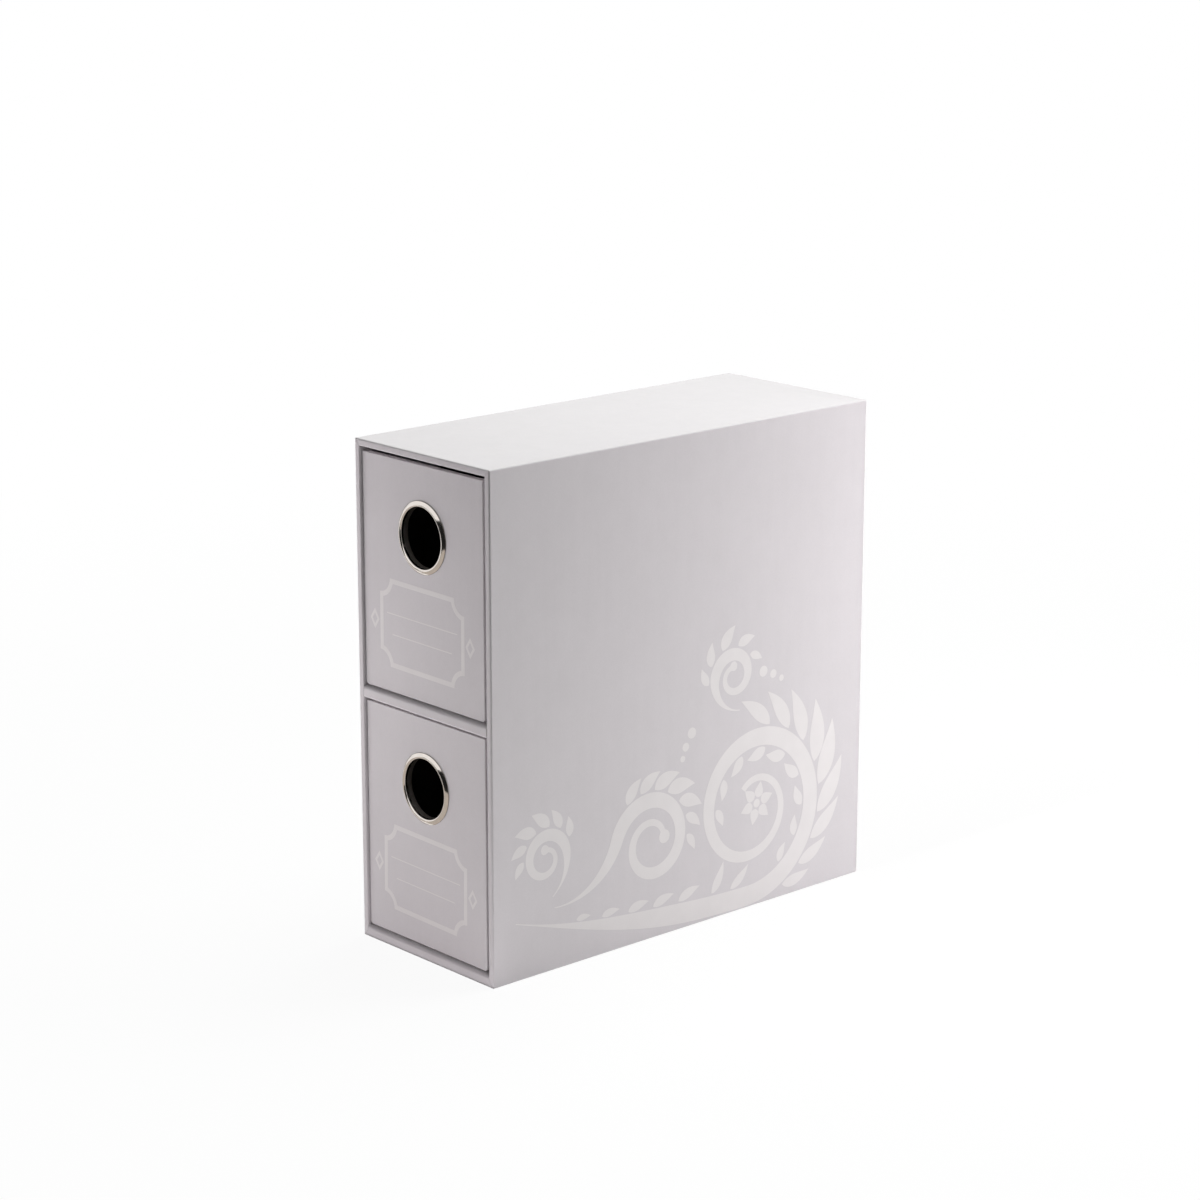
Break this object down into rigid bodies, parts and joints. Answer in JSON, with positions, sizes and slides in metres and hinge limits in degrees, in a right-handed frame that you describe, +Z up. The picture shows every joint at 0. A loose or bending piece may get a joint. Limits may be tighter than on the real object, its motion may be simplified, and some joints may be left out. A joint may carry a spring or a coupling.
{
  "type": "card drawer box",
  "caption": "Upright wrapped-board case with stacked pull-out trays for trading cards, each pulled by a metal finger ring.",
  "frame": {"origin": "middle of the case's underside, on the surface that it stands on", "axes": "+Z up; the drawers' fronts face -Y; +X is the right side seen from the front"},
  "size_m": [0.085, 0.213, 0.215],
  "materials": {
    "greyboard": "matte",
    "white_paper": "matte",
    "black_paper": "matte",
    "nickel_steel": "polished"
  },
  "bodies": {
    "case": {"case_back_board": "greyboard", "case_back_sheet": "white_paper", "case_bottom_board": "greyboard", "case_bottom_cover": "white_paper", "case_floor_board": "greyboard", "case_left_board": "greyboard", "case_left_cover": "white_paper", "case_right_board": "greyboard", "case_right_cover": "white_paper", "case_top_board": "greyboard", "case_top_cover": "white_paper", "lower_bay_lining": "black_paper", "shelf_cover": "white_paper", "shelf_lower_board": "greyboard", "shelf_upper_board": "greyboard", "upper_bay_lining": "black_paper"},
    "lower_drawer": {"lower_drawer_back_board": "greyboard", "lower_drawer_base_board": "greyboard", "lower_drawer_finger_ring": "nickel_steel", "lower_drawer_front_board": "greyboard", "lower_drawer_left_board": "greyboard", "lower_drawer_lining": "black_paper", "lower_drawer_right_board": "greyboard", "lower_drawer_ring_washer": "nickel_steel", "lower_drawer_wrap": "white_paper"},
    "upper_drawer": {"upper_drawer_back_board": "greyboard", "upper_drawer_base_board": "greyboard", "upper_drawer_finger_ring": "nickel_steel", "upper_drawer_front_board": "greyboard", "upper_drawer_left_board": "greyboard", "upper_drawer_lining": "black_paper", "upper_drawer_right_board": "greyboard", "upper_drawer_ring_washer": "nickel_steel", "upper_drawer_wrap": "white_paper"}
  },
  "joints": [
    {"name": "lower_drawer_slide", "type": "slide", "parent": "case", "child": "lower_drawer", "axis": [0, -1, 0], "range_m": [0, 0.2]},
    {"name": "upper_drawer_slide", "type": "slide", "parent": "case", "child": "upper_drawer", "axis": [0, -1, 0], "range_m": [0, 0.2]}
  ]
}
